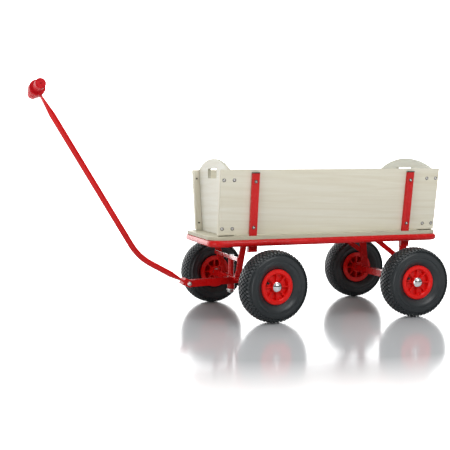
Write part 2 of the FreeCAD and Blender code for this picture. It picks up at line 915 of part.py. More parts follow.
def make_side_board():
    """Right side board of plywood."""
    slab = leaning_slab(batten_outward, board_outward, box_front, box_rear, deck_top + board_gap, box_top)
    corners = []
    for edge in slab.Edges:
        direction = edge.tangentAt(edge.FirstParameter)
        is_high = edge.CenterOfMass.z > box_top - board_corner
        if is_high and abs(direction.x) < 0.01 and abs(direction.y) > 0.5:
            corners.append(edge)
    slab = slab.makeFillet(board_corner, corners)
    return slab.cut(screw_bores()).cut(bolt_bores())


def make_battens(end):
    """Pair of right battens that form the slot for an end board."""
    battens = []
    bottom = deck_top + seat_gap
    top = box_top - board_corner
    for x in batten_centres(end):
        x0 = x - batten_width / 2
        x1 = x + batten_width / 2
        batten = leaning_slab(batten_inner_outward, batten_outward, x0, x1, bottom, top)
        battens.append(batten.cut(screw_bores()))
    return Part.makeCompound(battens)


def make_stake(x):
    """Right stake, from its socket to near the top of the side board."""
    x0 = x - stake_width / 2
    bottom = deck_bottom - socket_depth + stake_foot_gap
    stake = leaning_slab(-stake_thickness, 0.0, x0, x0 + stake_width, bottom, box_top - stake_drop)
    return stake.cut(bolt_bores())


def make_stake_plugs():
    """Plastic plugs on the tops of the right stakes."""
    plugs = []
    top = box_top - stake_drop
    for x in (front_stake, rear_stake):
        x0 = x - stake_width / 2
        plugs.append(leaning_slab(-stake_thickness, 0.0, x0, x0 + stake_width, top, top + plug_height))
    return Part.makeCompound(plugs)


def make_side_fasteners():
    """Screws of the right battens and bolts of the right stakes."""
    fasteners = []
    outward = lean_normal()
    for x, height in side_screw_places():
        length = board_thickness + batten_thickness
        start = side_point(x, height, board_outward)
        shank = rod(screw_diameter / 2, start, outward * -1, length)
        head = dome(screw_head_diameter / 2, screw_head_height, start, outward)
        inner = start - outward * length
        nut = rod(screw_nut_diameter / 2, inner, outward * -1, screw_nut_height)
        fasteners.append(shank.multiFuse([head, nut]).removeSplitter())
    for x, height in stake_bolt_places():
        length = stake_thickness + board_thickness
        start = side_point(x, height, 0.0)
        shank = rod(bolt_diameter / 2, start, outward * -1, length)
        head = dome(bolt_head_diameter / 2, bolt_head_height, start, outward)
        inner = start - outward * length
        nut = dome(cap_nut_diameter / 2, cap_nut_height, inner, outward * -1)
        fasteners.append(shank.multiFuse([head, nut]).removeSplitter())
    return Part.makeCompound(fasteners)


def make_end_board(end):
    """Arched end board with a hand slot."""
    middle = end_slot_centre(end)
    x0 = middle - end_board_thickness / 2
    bottom = deck_top + seat_gap
    side_gap = batten_outward - seat_gap
    low = leaning_face(bottom, side_gap)
    high = leaning_face(box_top, side_gap)
    left_shoulder = Vector(x0, -high, box_top)
    right_shoulder = Vector(x0, high, box_top)
    peak = Vector(x0, 0, box_top + end_arch_rise)
    edges = [
        Part.LineSegment(Vector(x0, -low, bottom), Vector(x0, low, bottom)),
        Part.LineSegment(Vector(x0, low, bottom), right_shoulder),
        Part.Arc(right_shoulder, peak, left_shoulder),
        Part.LineSegment(left_shoulder, Vector(x0, -low, bottom)),
    ]
    outline = Part.Wire([edge.toShape() for edge in edges])
    board = Part.Face(outline).extrude(Vector(end_board_thickness, 0, 0))
    slot_bottom = box_top + end_arch_rise - hand_slot_drop - hand_slot_height / 2
    slot_top = slot_bottom + hand_slot_height
    half = hand_slot_length / 2
    slot = block(x0, x0 + end_board_thickness, -half, half, slot_bottom, slot_top)
    corners = [edge for edge in slot.Edges if abs(edge.tangentAt(edge.FirstParameter).x) > 0.99]
    slot = slot.makeFillet(hand_slot_corner, corners)
    return board.cut(slot)


# ---------------------------------------------------------------- wheels
def revolved(points):
    """Ring of an outline given as (radius, distance outboard), about the wheel's axle."""
    outline = Part.makePolygon([Vector(radius, out, 0) for radius, out in list(points) + [points[0]]])
    return Part.Face(outline).revolve(Vector(0, 0, 0), Y_AXIS, 360)


def rim_ribs(outline):
    """Thin ribs around the hub, each of one outline drawn at (radius, distance outboard)."""
    ribs = []
    for turn in range(rib_count):
        points = [Vector(radius, out, -rib_thickness / 2) for radius, out in outline]
        rib = prism(points, Vector(0, 0, rib_thickness))
        rib.rotate(Vector(0, 0, 0), Y_AXIS, 360 * turn / rib_count)
        ribs.append(rib)
    return ribs


def make_rim():
    """Plastic rim with a ribbed dish and a hub, outboard side towards +Y."""
    half = rim_width / 2
    bore = axle_radius + bushing_wall
    flange_inner = half - flange_thickness
    disc_outer = half - dish_depth
    disc_inner = disc_outer - disc_thickness
    barrel_inner = bead_radius - rim_wall
    hub_back = -half - hub_inner_reach
    lip_radius = dish_radius - dish_lip_step
    floor_radius = barrel_inner - dish_floor_step
    rim = revolved([
        (bore, hub_back), (hub_radius, hub_back), (hub_radius, disc_inner), (barrel_inner, disc_inner),
        (barrel_inner, -half), (rim_flange_radius, -half), (rim_flange_radius, -flange_inner),
        (bead_radius, -flange_inner), (bead_radius, flange_inner), (rim_flange_radius, flange_inner),
        (rim_flange_radius, half - flange_rounding), (rim_flange_radius - flange_rounding, half),
        (dish_radius, half), (lip_radius, half - dish_lip_depth), (floor_radius, disc_outer),
        (hub_radius, disc_outer), (hub_radius - hub_rounding, hub_outer_reach), (bore, hub_outer_reach),
    ])
    inside_hub = hub_radius - rib_hub_overlap
    inside_barrel = bead_radius - rim_wall / 2
    ribs = rim_ribs([
        (inside_hub, disc_outer - rib_root), (inside_barrel, disc_outer - rib_root),
        (inside_barrel, half - dish_lip_depth - rib_root), (inside_hub, hub_outer_reach - rib_drop),
    ])
    ribs += rim_ribs([
        (inside_hub, disc_inner + rib_root), (inside_barrel, disc_inner + rib_root),
        (inside_barrel, rib_drop - half), (inside_hub, rib_drop - half),
    ])
    rim = rim.multiFuse(ribs).removeSplitter()
    angle = math.radians(valve_angle)
    valve_start = Vector(valve_place * math.cos(angle), -half, valve_place * math.sin(angle))
    return rim.cut(rod(valve_hole_radius, valve_start, Y_AXIS, rim_width))


def make_tyre():
    """Hollow tyre, seated on the rim between its flanges."""
    half_width = tyre_width / 2
    bead_half = rim_width / 2 - flange_thickness
    lip_half = bead_half - tyre_wall
    flare = rim_flange_radius + tyre_flare
    belly = (bead_radius + wheel_radius) / 2 + tyre_belly_rise
    shoulder_radius = wheel_radius - tyre_shoulder
    shoulder_half = half_width - tyre_shoulder
    lining_top = wheel_radius - tyre_wall - tyre_tread_depth
    lining_half = half_width - tyre_wall
    lining_shoulder = lining_top - tyre_lining_drop
    lining_corner = lining_half - tyre_lining_corner
    lining_foot = flare + tyre_lining_step

    def at(radius, out):
        return Vector(radius, out, 0)

    right_shoulder = at(shoulder_radius, shoulder_half)
    edges = [
        Part.LineSegment(at(bead_radius, -bead_half), at(flare, -bead_half)),
        Part.Arc(at(flare, -bead_half), at(belly, -half_width), at(shoulder_radius, -shoulder_half)),
        Part.Arc(at(shoulder_radius, -shoulder_half), at(wheel_radius, 0), right_shoulder),
        Part.Arc(right_shoulder, at(belly, half_width), at(flare, bead_half)),
        Part.LineSegment(at(flare, bead_half), at(bead_radius, bead_half)),
        Part.LineSegment(at(bead_radius, bead_half), at(bead_radius, lip_half)),
        Part.LineSegment(at(bead_radius, lip_half), at(lining_foot, lip_half)),
        Part.Arc(at(lining_foot, lip_half), at(belly, lining_half), at(lining_shoulder, lining_corner)),
        Part.Arc(at(lining_shoulder, lining_corner), at(lining_top, 0), at(lining_shoulder, -lining_corner)),
        Part.Arc(at(lining_shoulder, -lining_corner), at(belly, -lining_half), at(lining_foot, -lip_half)),
        Part.LineSegment(at(lining_foot, -lip_half), at(bead_radius, -lip_half)),
        Part.LineSegment(at(bead_radius, -lip_half), at(bead_radius, -bead_half)),
    ]
    outline = Part.Wire([edge.toShape() for edge in edges])
    return Part.Face(outline).revolve(Vector(0, 0, 0), Y_AXIS, 360)


def make_bushings():
    """Plastic bushings pressed into both ends of the hub."""
    bore = axle_radius + running_clearance
    outer = axle_radius + bushing_wall
    back = -rim_width / 2 - hub_inner_reach
    inboard = pipe(outer, bore, Vector(0, back, 0), Y_AXIS, bushing_length)
    outboard = pipe(outer, bore, Vector(0, hub_outer_reach - bushing_length, 0), Y_AXIS, bushing_length)
    return Part.makeCompound([inboard, outboard])


def place_wheel(shape, end, side):
    """Put a wheel piece, drawn at the origin, on its axle."""
    placed = shape.copy()
    if side == LEFT:
        placed.rotate(Vector(0, 0, 0), Z_AXIS, 180)
    x = front_axle_x if end == FRONT else rear_axle_x
    placed.translate(Vector(x, side * track / 2, wheel_radius))
    return steered(placed) if end == FRONT else placed


# ---------------------------------------------------------------- export
def write_frame():
    write("rail_ring", on_frame(make_rails()))
    write("cross_members", on_frame(make_cross_members()))
    write("stake_sockets", on_frame(make_sockets()))
    write("deck", on_frame(make_deck()))
    write("deck_bolts", on_frame(make_deck_bolts()))
    write("rear_legs", on_frame(make_rear_legs()))
    write("rear_braces", on_frame(make_rear_braces()))
    write("rear_axle_beam", on_frame(square_tube_beam(rear_axle_x, rear_beam_top)))
    write("rear_axle", make_axle(rear_axle_x))
    write("rear_axle_washers", make_axle_washers(rear_axle_x))
    write("rear_hub_caps", make_hub_caps(rear_axle_x))


def write_head():
    write("head_struts", make_head_struts())
    write("head_bar", make_head_bar())
    write("head_plate", make_head_plate())
    write("head_tube", make_head_tube())
    write("kingpin", make_kingpin())
    write("kingpin_nut", make_kingpin_nut())


def write_front_axle():
    write("kingpin_sleeve", steered(make_sleeve()))
    write("turntable_washer", steered(make_turntable_washer()))
    write("front_axle_beam", steered(square_tube_beam(front_axle_x, front_beam_top)))
    write("front_axle", steered(make_axle(front_axle_x)))
    write("front_axle_washers", steered(make_axle_washers(front_axle_x)))
    write("front_hub_caps", steered(make_hub_caps(front_axle_x)))
    write("drawbar", steered(make_drawbar()))
    write("drawbar_gussets", steered(make_drawbar_gussets()))


def write_handle():
    write("handle_tube", steered(make_handle_tube()))
    write("handle_clevis", steered(make_clevis()))
    write("handle_grip", steered(make_grip()))
    write("handle_pivot_bolt", steered(make_pivot_bolt()))
    write("handle_pivot_nut", steered(make_pivot_nut()))


def write_box():
    for side in (RIGHT, LEFT):
        name = SIDE_NAMES[side]
        write("side_board_" + name, on_frame(on_side(make_side_board(), side)))
        write("side_fasteners_" + name, on_frame(on_side(make_side_fasteners(), side)))
        write("stake_plugs_" + name, on_frame(on_side(make_stake_plugs(), side)))
        write("stake_front_" + name, on_frame(on_side(make_stake(front_stake), side)))
        write("stake_rear_" + name, on_frame(on_side(make_stake(rear_stake), side)))
        for end in (FRONT, REAR):
            node = "battens_" + END_NAMES[end] + "_" + name
            write(node, on_frame(on_side(make_battens(end), side)))
    for end in (FRONT, REAR):
        write("end_board_" + END_NAMES[end], on_frame(make_end_board(end)))


def write_wheels():
    pieces = {"tyre": make_tyre(), "rim": make_rim(), "bushings": make_bushings()}
    for end in (FRONT, REAR):
        for side in (RIGHT, LEFT):
            for name, shape in pieces.items():
                node = name + "_" + END_NAMES[end] + "_" + SIDE_NAMES[side]
                write(node, place_wheel(shape, end, side))


os.makedirs("parts", exist_ok=True)
write_frame()
write_head()
write_front_axle()
write_handle()
write_box()
write_wheels()
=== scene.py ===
import json
import math

import bmesh
import bpy
from mathutils import Matrix, Vector


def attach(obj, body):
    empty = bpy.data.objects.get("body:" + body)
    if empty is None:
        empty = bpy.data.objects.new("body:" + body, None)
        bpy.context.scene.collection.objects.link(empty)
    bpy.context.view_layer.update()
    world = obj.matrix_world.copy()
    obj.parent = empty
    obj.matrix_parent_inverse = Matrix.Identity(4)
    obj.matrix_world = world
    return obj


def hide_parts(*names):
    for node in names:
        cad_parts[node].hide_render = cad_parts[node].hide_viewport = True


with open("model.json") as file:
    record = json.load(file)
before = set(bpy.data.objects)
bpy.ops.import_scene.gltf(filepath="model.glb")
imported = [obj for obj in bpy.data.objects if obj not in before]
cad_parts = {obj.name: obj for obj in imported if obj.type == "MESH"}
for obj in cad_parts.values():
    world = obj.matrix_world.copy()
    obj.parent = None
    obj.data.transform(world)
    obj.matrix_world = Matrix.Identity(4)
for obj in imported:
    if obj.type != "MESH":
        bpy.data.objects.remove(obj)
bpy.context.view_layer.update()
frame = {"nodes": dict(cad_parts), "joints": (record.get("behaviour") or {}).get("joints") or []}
nodes = frame["nodes"]
joints = {joint["name"]: joint for joint in frame["joints"]}

# The wagon's frame drops towards its nose by SLOPE, and its side panels lean outwards by LEAN.
SLOPE = math.radians(0.9)
LEAN = math.radians(9.6)
UP = Vector((-math.sin(SLOPE), 0, math.cos(SLOPE)))
ALONG = Vector((math.cos(SLOPE), 0, math.sin(SLOPE)))
SIDES = {"left": -1, "right": 1}
ENDS = ("front", "rear")
WHEELS = ("front_left", "front_right", "rear_left", "rear_right")


def side_normal(side):
    """Direction in which one side panel faces outwards."""
    level = Vector((0, SIDES[side] * math.cos(LEAN), -math.sin(LEAN)))
    return Matrix.Rotation(-SLOPE, 3, "Y") @ level


# ---------------------------------------------------------------- materials
# Most of a noise texture's values lie between these.
NOISE_RANGE = (0.3, 0.7)
MARK_SHADE = 0.82


class Recipe:
    """Node tree of one material, with short calls for the nodes that every finish uses."""

    def __init__(self, name, **settings):
        self.material = bpy.data.materials.new(name)
        self.material.use_nodes = True
        self.tree = self.material.node_tree
        self.shader = self.tree.nodes["Principled BSDF"]
        for key, value in settings.items():
            self.shader.inputs[key.replace("_", " ")].default_value = value
        coordinates = self.node("ShaderNodeTexCoord")
        self.place = coordinates.outputs["Object"]
        self.facing = coordinates.outputs["Normal"]

    def node(self, kind, inputs=None, **properties):
        made = self.tree.nodes.new(kind)
        for key, value in properties.items():
            setattr(made, key, value)
        for key, value in (inputs or {}).items():
            if isinstance(value, bpy.types.NodeSocket):
                self.tree.links.new(value, made.inputs[key])
            else:
                made.inputs[key].default_value = value
        return made

    def link(self, output, socket):
        self.tree.links.new(output, self.shader.inputs[socket])

    def stretched(self, scale, turn=(0, 0, 0)):
        """Object coordinates, with a scale for each axis."""
        made = self.node("ShaderNodeMapping", {
            "Vector": self.place, "Scale": scale, "Rotation": turn})
        return made.outputs["Vector"]

    def noise(self, scale, detail=3.0, roughness=0.5, distortion=0.0, vector=None):
        made = self.node("ShaderNodeTexNoise", {
            "Vector": self.place if vector is None else vector, "Scale": scale,
            "Detail": detail, "Roughness": roughness, "Distortion": distortion})
        return made.outputs["Fac"]

    def math(self, operation, first, second=0.0):
        made = self.node("ShaderNodeMath", {0: first, 1: second}, operation=operation)
        return made.outputs[0]

    def dot(self, vector, direction):
        """How far a vector reaches along a fixed direction."""
        made = self.node("ShaderNodeVectorMath", {0: vector, 1: tuple(direction)},
                         operation="DOT_PRODUCT")
        return made.outputs["Value"]

    def ramp(self, factor, *stops):
        """Colours blended between (position, colour) stops."""
        made = self.node("ShaderNodeValToRGB", {"Fac": factor})
        elements = made.color_ramp.elements
        while len(elements) < len(stops):
            elements.new(0.5)
        for element, (position, colour) in zip(elements, stops):
            element.position = position
            element.color = (*colour, 1)
        return made.outputs["Color"]

    def spread(self, factor, between, to):
        """A factor that runs between two values, turned into a number that runs to two others."""
        made = self.node("ShaderNodeMapRange", {
            "Value": factor, "From Min": between[0], "From Max": between[1],
            "To Min": to[0], "To Max": to[1]})
        return made.outputs["Result"]

    def mix(self, factor, first, second):
        """Two colours blended by a factor."""
        made = self.node("ShaderNodeMix", data_type="RGBA")
        for key, value in (("Factor", factor), ("A", first), ("B", second)):
            socket = [s for s in made.inputs if s.name == key and s.enabled][0]
            if isinstance(value, bpy.types.NodeSocket):
                self.tree.links.new(value, socket)
            else:
                socket.default_value = (*value, 1)
        return [s for s in made.outputs if s.enabled][0]

    def over(self, colour, mask, between, share, other):
        """Another colour laid over, up to a share of it, as the mask runs between two values."""
        return self.mix(self.spread(mask, between, (0.0, share)), colour, other)

    def roughness(self, factor, to, between=NOISE_RANGE):
        self.link(self.spread(factor, between, to), "Roughness")

    def bump(self, height, strength, distance):
        made = self.node("ShaderNodeBump", {
            "Height": height, "Strength": strength, "Distance": distance})
        self.link(made.outputs["Normal"], "Normal")


def powder_coat(name, coat, specular):
    """Red powder coat with a faint orange peel, dark specks and patches of uneven gloss."""
    recipe = Recipe(name, Coat_Weight=coat, Coat_Roughness=0.06, Specular_IOR_Level=specular)
    broad = recipe.noise(9.0, detail=4.0)
    colour = recipe.ramp(broad, (0.3, (0.500, 0.0045, 0.0050)), (0.7, (0.600, 0.0070, 0.0075)))
    specks = recipe.noise(700.0, detail=2.0)
    colour = recipe.over(colour, specks, (0.66, 0.8), 0.45, (0.36, 0.005, 0.004))
    recipe.link(colour, "Base Color")
    patches = recipe.noise(30.0, detail=5.0, roughness=0.6)
    recipe.roughness(patches, (0.20, 0.34), between=(0.3, 0.75))
    recipe.bump(recipe.noise(420.0, detail=2.0), strength=0.10, distance=0.0005)
    return recipe.material


def red_plastic(name, deep, bright, specular):
    """Red moulded plastic with faint flow marks."""
    recipe = Recipe(name, Specular_IOR_Level=specular)
    flow = recipe.noise(26.0, detail=5.0, roughness=0.6, distortion=1.2)
    recipe.link(recipe.ramp(flow, (0.3, deep), (0.7, bright)), "Base Color")
    recipe.roughness(recipe.noise(60.0, detail=4.0), (0.24, 0.38))
    recipe.bump(recipe.noise(850.0, detail=2.0), strength=0.08, distance=0.0003)
    return recipe.material


def rubber():
    """Charcoal rubber with a fine skin, and dust in small patches."""
    recipe = Recipe("tyre_rubber", Specular_IOR_Level=0.5)
    cloud = recipe.noise(18.0, detail=6.0, roughness=0.65)
    colour = recipe.ramp(cloud, (0.3, (0.0125, 0.0170, 0.0195)), (0.72, (0.0210, 0.0265, 0.0290)))
    dust = recipe.noise(260.0)
    colour = recipe.over(colour, dust, (0.55, 0.8), 0.22, (0.060, 0.070, 0.072))
    recipe.link(colour, "Base Color")
    recipe.roughness(cloud, (0.30, 0.46))
    recipe.bump(recipe.noise(900.0, detail=4.0, roughness=0.6), strength=0.2, distance=0.0004)
    return recipe.material


def wood(name, grain, tint=(1.0, 1.0, 1.0), plies=None):
    """Pale lacquered wood. grain is its scale along each axis.

    plies, for plywood, is how many there are, the board's normal, how far its near face
    lies along that, and its thickness. They show where the board is cut.
    """
    recipe = Recipe(name, Coat_Weight=0.04, Coat_Roughness=0.4, Specular_IOR_Level=0.2)

    def shade(*colour):
        return tuple(value * share for value, share in zip(colour, tint))

    def finer(factor, turn=(0, 0, 0)):
        return recipe.stretched([factor * value for value in grain], turn)

    lengthways = recipe.stretched(grain)
    sweep = recipe.noise(2.0, detail=5.0, roughness=0.55, distortion=0.9, vector=lengthways)
    colour = recipe.ramp(sweep, (0.25, shade(0.640, 0.600, 0.475)),
                         (0.5, shade(0.685, 0.655, 0.540)), (0.78, shade(0.725, 0.705, 0.610)))
    rings = recipe.node("ShaderNodeTexWave", {
        "Vector": lengthways, "Scale": 1.1, "Distortion": 7.0, "Detail": 3.0, "Detail Scale": 0.8},
        wave_type="BANDS", bands_direction="DIAGONAL").outputs["Fac"]
    colour = recipe.over(colour, rings, (0.55, 1.0), 0.13, shade(0.52, 0.45, 0.31))
    fibres = recipe.noise(3.2, roughness=0.7, vector=finer(12))
    colour = recipe.over(colour, fibres, (0.55, 0.85), 0.20, shade(0.46, 0.40, 0.28))
    flecks = recipe.noise(1.6, detail=2.0, vector=finer(5))
    colour = recipe.over(colour, flecks, (0.66, 0.78), 0.35, shade(0.84, 0.82, 0.73))
    scuffs = recipe.noise(3.0, detail=6.0, roughness=0.75, vector=finer(0.35, (0.3, 0.2, 0.1)))
    colour = recipe.over(colour, scuffs, (0.68, 0.82), 0.25, shade(0.44, 0.40, 0.30))
    if plies:
        count, normal, near_face, thickness = plies
        inwards = recipe.math("SUBTRACT", recipe.dot(recipe.place, normal), near_face)
        turns = recipe.math("MULTIPLY", inwards, math.pi * count / thickness)
        layer = recipe.math("SINE", turns)
        cross_grain = recipe.spread(layer, (-0.75, -0.3), (0.6, 0.0))
        colour = recipe.mix(cross_grain, colour, shade(0.33, 0.26, 0.16))
        face_on = recipe.math("ABSOLUTE", recipe.dot(recipe.facing, normal))
        cut_edge = recipe.spread(face_on, (0.45, 0.85), (0.55, 0.0))
        colour = recipe.mix(cut_edge, colour, shade(0.40, 0.38, 0.28))
    recipe.link(colour, "Base Color")
    recipe.roughness(sweep, (0.44, 0.58))
    recipe.bump(fibres, strength=0.10, distance=0.0005)
    return recipe.material


def metal(name, dark, light, roughness, grain, outward=None):
    """Bare metal with fine marks and slightly uneven polish.

    With a direction outward, domes get painted shade towards their rims.
    """
    recipe = Recipe(name, Metallic=1.0)
    marks = recipe.noise(grain, detail=4.0, roughness=0.6)
    colour = recipe.ramp(marks, (0.35, dark), (0.62, light))
    if outward is not None:
        # Painted shade: a dark ring where the dome turns away from the outward direction, towards
        # its rim.
        rim = recipe.spread(recipe.dot(recipe.facing, outward), (0.80, 0.91), (1.0, 0.0))
        colour = recipe.mix(rim, colour, (0.085, 0.080, 0.075))
    recipe.link(colour, "Base Color")
    recipe.roughness(marks, roughness)
    recipe.bump(recipe.noise(grain * 5, detail=2.0), strength=0.06, distance=0.0003)
    return recipe.material


def plated(name, colour, roughness, grain):
    """Metal whose marks are a little darker than the rest."""
    marks = tuple(value * MARK_SHADE for value in colour)
    return metal(name, marks, colour, roughness, grain)


def plastic(name, dark, light, roughness, specular):
    """Plain moulded plastic with a fine texture."""
    recipe = Recipe(name, Specular_IOR_Level=specular)
    cloud = recipe.noise(60.0, detail=4.0)
    recipe.link(recipe.ramp(cloud, (0.3, dark), (0.7, light)), "Base Color")
    recipe.roughness(cloud, roughness)
    recipe.bump(recipe.noise(1400.0, detail=2.0), strength=0.2, distance=0.0003)
    return recipe.material


RED_STEEL = powder_coat("red_powder_coat", coat=0.12, specular=0.20)
SHINY_STEEL = powder_coat("shiny_red_powder_coat", coat=1.0, specular=0.85)
RED_PLASTIC = red_plastic("red_moulded_plastic", (0.720, 0.0060, 0.0050),
                          (0.840, 0.0100, 0.0075), specular=0.24)
GRIP_PLASTIC = red_plastic("red_grip_plastic", (0.430, 0.0080, 0.0130),
                           (0.520, 0.0110, 0.0170), specular=0.03)
RUBBER = rubber()
ZINC = plated("zinc_plate", (0.66, 0.66, 0.65), (0.22, 0.42), grain=180.0)
# Washers' steel, dark as painted shade round the screw heads.
WASHER_STEEL_PAINTED_SHADE = plated("dark_washer_steel", (0.15, 0.145, 0.14), (0.30, 0.45), grain=260.0)
CHROME = plated("polished_chrome", (0.86, 0.87, 0.88), (0.04, 0.12), grain=90.0)
NYLON = plastic("white_nylon", (0.66, 0.65, 0.60), (0.78, 0.77, 0.73), (0.4, 0.55),
                specular=0.45)
BLACK_PLASTIC = plastic("black_plastic", (0.012, 0.012, 0.013), (0.030, 0.030, 0.031),
                        (0.35, 0.5), specular=0.20)


# ---------------------------------------------------------------- finishes of the CAD nodes
# A node gets the first finish with a start that its name begins with, or else red steel.
FINISHES = (
    (RED_STEEL, ("kingpin_sleeve", "front_axle_beam", "rear_axle_beam")),
    (ZINC, ("kingpin", "front_axle", "rear_axle", "deck_bolts", "handle_pivot")),
    (RED_PLASTIC, ("rim_",)),
    (GRIP_PLASTIC, ("handle_grip",)),
    (BLACK_PLASTIC, ("stake_plugs",)),
    (CHROME, ("front_hub_caps", "rear_hub_caps")),
    (NYLON, ("bushings", "turntable_washer")),
    (RUBBER, ("tyre_",)),
    (SHINY_STEEL, ("head_bar",)),
)

# Scales of the wood's grain along X, Y and Z.
GRAIN_ALONG_X = (1.0, 22.0, 22.0)
GRAIN_ALONG_Y = (22.0, 1.0, 22.0)
GRAIN_ALONG_Z = (22.0, 22.0, 1.2)
DECK_PLIES = 7
END_PLIES = 7
SIDE_PLIES = 5
DECK_TINT = (0.93, 0.93, 0.90)
# Painted light: the end boards are bluer than the sides, as if lit from above, and the rear one is
# darker as painted shade.
END_TINTS_PAINTED_LIGHT = {"front": (0.98, 1.01, 1.06), "rear": (0.90, 0.95, 1.04)}
SIDE_TINT = (1.0, 1.0, 1.0)

# Widths of the small roundings on sharp edges, in metres.
BOARD_EDGE = 0.0012
STAKE_EDGE = 0.0012
SIDE_EDGE = 0.0010
STEEL_EDGE = 0.0008
EDGE_SEGMENTS = 2
SHARP_ANGLE = math.radians(40)
FLAT_ANGLE = math.radians(1)
WELD_DISTANCE = 0.00001
ROUNDED_STEEL = (
    "stake_sockets", "head_struts", "head_bar", "head_plate", "rear_legs", "rear_braces",
    "drawbar", "drawbar_gussets", "front_axle_beam", "rear_axle_beam", "cross_members",
    "handle_clevis",
)


def finish_of(node):
    for material, starts in FINISHES:
        if node.startswith(starts):
            return material
    return RED_STEEL


def dress(node, material):
    """Give a CAD node its material."""
    mesh = nodes[node].data
    if not mesh.materials:
        mesh.materials.append(material)
    for index in range(len(mesh.materials)):
        mesh.materials[index] = material


def dress_board(node, normal, grain, plies, tint):
    """Give a board plywood whose plies follow its own thickness."""
    reach = [vertex.co.dot(normal) for vertex in nodes[node].data.vertices]
    layers = (plies, normal, min(reach), max(reach) - min(reach))
    dress(node, wood("plywood_" + node, grain, tint, layers))


def soften(node, width):
    """Round a CAD node's sharp edges a little with modifiers, so that they catch the light."""
    piece = nodes[node]
    weld = piece.modifiers.new("weld", "WELD")
    weld.merge_threshold = WELD_DISTANCE
    flats = piece.modifiers.new("flats", "DECIMATE")
    flats.decimate_type = "DISSOLVE"
    flats.angle_limit = FLAT_ANGLE
    bevel = piece.modifiers.new("edges", "BEVEL")
    bevel.width = width
    bevel.segments = EDGE_SEGMENTS
    bevel.limit_method = "ANGLE"
    bevel.angle_limit = SHARP_ANGLE
    bevel.harden_normals = True


def dress_side(side):
    """Finish one side panel: its fasteners, board, battens and stakes."""
    normal = side_normal(side)
    # The screws' steel has painted shade round the rims of its domes.
    screw_steel = metal("screw_steel_" + side, (0.50, 0.49, 0.47), (0.64, 0.63, 0.61),
                        (0.20, 0.34), grain=240.0, outward=normal)
    dress("side_fasteners_" + side, screw_steel)
    dress_board("side_board_" + side, normal, GRAIN_ALONG_X, SIDE_PLIES, SIDE_TINT)
    soften("side_board_" + side, SIDE_EDGE)
    for end in ENDS:
        dress(f"battens_{end}_{side}", wood(f"batten_{end}_{side}", GRAIN_ALONG_Z))
        soften(f"battens_{end}_{side}", SIDE_EDGE)
        soften(f"stake_{end}_{side}", STAKE_EDGE)


for name in nodes:
    dress(name, finish_of(name))
dress_board("deck", UP, GRAIN_ALONG_X, DECK_PLIES, DECK_TINT)
soften("deck", BOARD_EDGE)
for end in ENDS:
    dress_board("end_board_" + end, ALONG, GRAIN_ALONG_Y, END_PLIES, END_TINTS_PAINTED_LIGHT[end])
    soften("end_board_" + end, BOARD_EDGE)
for side in SIDES:
    dress_side(side)
for name in ROUNDED_STEEL:
    soften(name, STEEL_EDGE)


# ---------------------------------------------------------------- mesh helpers
ROUND_TURNS = 28


def make_mesh(name, vertices, faces, material, smooth=True):
    """Mesh from points in metres and faces, with its normals outwards."""
    mesh = bpy.data.meshes.new(name)
    mesh.from_pydata([tuple(vertex) for vertex in vertices], [], [tuple(face) for face in faces])
    mesh.update()
    tidy = bmesh.new()
    tidy.from_mesh(mesh)
    bmesh.ops.recalc_face_normals(tidy, faces=tidy.faces)
    tidy.to_mesh(mesh)
    tidy.free()
    mesh.materials.append(material)
    for polygon in mesh.polygons:
        polygon.use_smooth = smooth
    return mesh


def add_object(name, data):
    piece = bpy.data.objects.new(name, data)
    bpy.context.scene.collection.objects.link(piece)
    return piece


def add_piece(name, vertices, faces, material):
    return add_object(name, make_mesh(name, vertices, faces, material))


def merge(parts):
    """One list of points and one of faces from several."""
    vertices = []
    faces = []
    for points, polygons in parts:
        base = len(vertices)
        vertices.extend(points)
        faces.extend([[base + index for index in polygon] for polygon in polygons])
    return vertices, faces


def lathe(profile, turns, centre, axis, start):
    """Surface of revolution of (radius, distance along the axis) points.

    It is closed where its profile begins and ends on the axis.
    """
    third = axis.cross(start)
    points = []
    faces = []
    count = len(profile)
    for turn in range(turns):
        angle = 2 * math.pi * turn / turns
        ray = start * math.cos(angle) + third * math.sin(angle)
        points.extend([centre + ray * radius + axis * out for radius, out in profile])
        following = (turn + 1) % turns
        for index in range(count - 1):
            faces.append([turn * count + index, turn * count + index + 1,
                          following * count + index + 1, following * count + index])
    return points, faces


def from_axes(place, x_axis, y_axis, z_axis):
    """World matrix of an object at a place, from the directions of its own axes."""
    turn = Matrix((x_axis, y_axis, z_axis)).transposed()
    return Matrix.Translation(place) @ turn.to_4x4()


def middle_of(points):
    return sum(points, Vector()) / len(points)


# ---------------------------------------------------------------- tyres
# Half of a tyre's section from the rim out to the middle of the tread: radius and distance
# from the wheel's mid plane. The tread begins at point CROWN_START.
PROFILE = [
    (0.0510, 0.0250), (0.0632, 0.0252), (0.0655, 0.0262), (0.0680, 0.0282), (0.0720, 0.0318),
    (0.0765, 0.0356), (0.0805, 0.0383), (0.0840, 0.0400), (0.0870, 0.0410), (0.0895, 0.0412),
    (0.0915, 0.0406), (0.0932, 0.0401), (0.0955, 0.0405), (0.1000, 0.0417), (0.1050, 0.0421),
    (0.1070, 0.0422), (0.1090, 0.0419), (0.1135, 0.0408), (0.1175, 0.0393), (0.1205, 0.0379),
    (0.1226, 0.0362), (0.1248, 0.0322), (0.1264, 0.0270), (0.1280, 0.0200), (0.1292, 0.0120),
    (0.1298, 0.0060), (0.1300, 0.0),
]
CROWN_START = 15
CROWN = [Vector(point) for point in reversed(PROFILE[CROWN_START:])]
TYRE_RADIUS = 0.130
TYRE_TURNS = 132

# The grooves reach their full depth over the first points of the crown. They are sunk
# along one direction, (inwards, sideways), on the shoulder's points and another further in.
GROOVE_START_POINTS = 3
SHOULDER_POINTS = 4
SHOULDER_SINK = Vector((0.5, 0.85)).normalized()
CROWN_SINK = Vector((1.0, 0.3)).normalized()

TREAD_DEPTH = 0.0046
TREAD_ROWS = 5
TREAD_STEP = 0.0112
TREAD_COUNT = 54
STAGGER = 0.5
OUTER_STEP = 0.0100

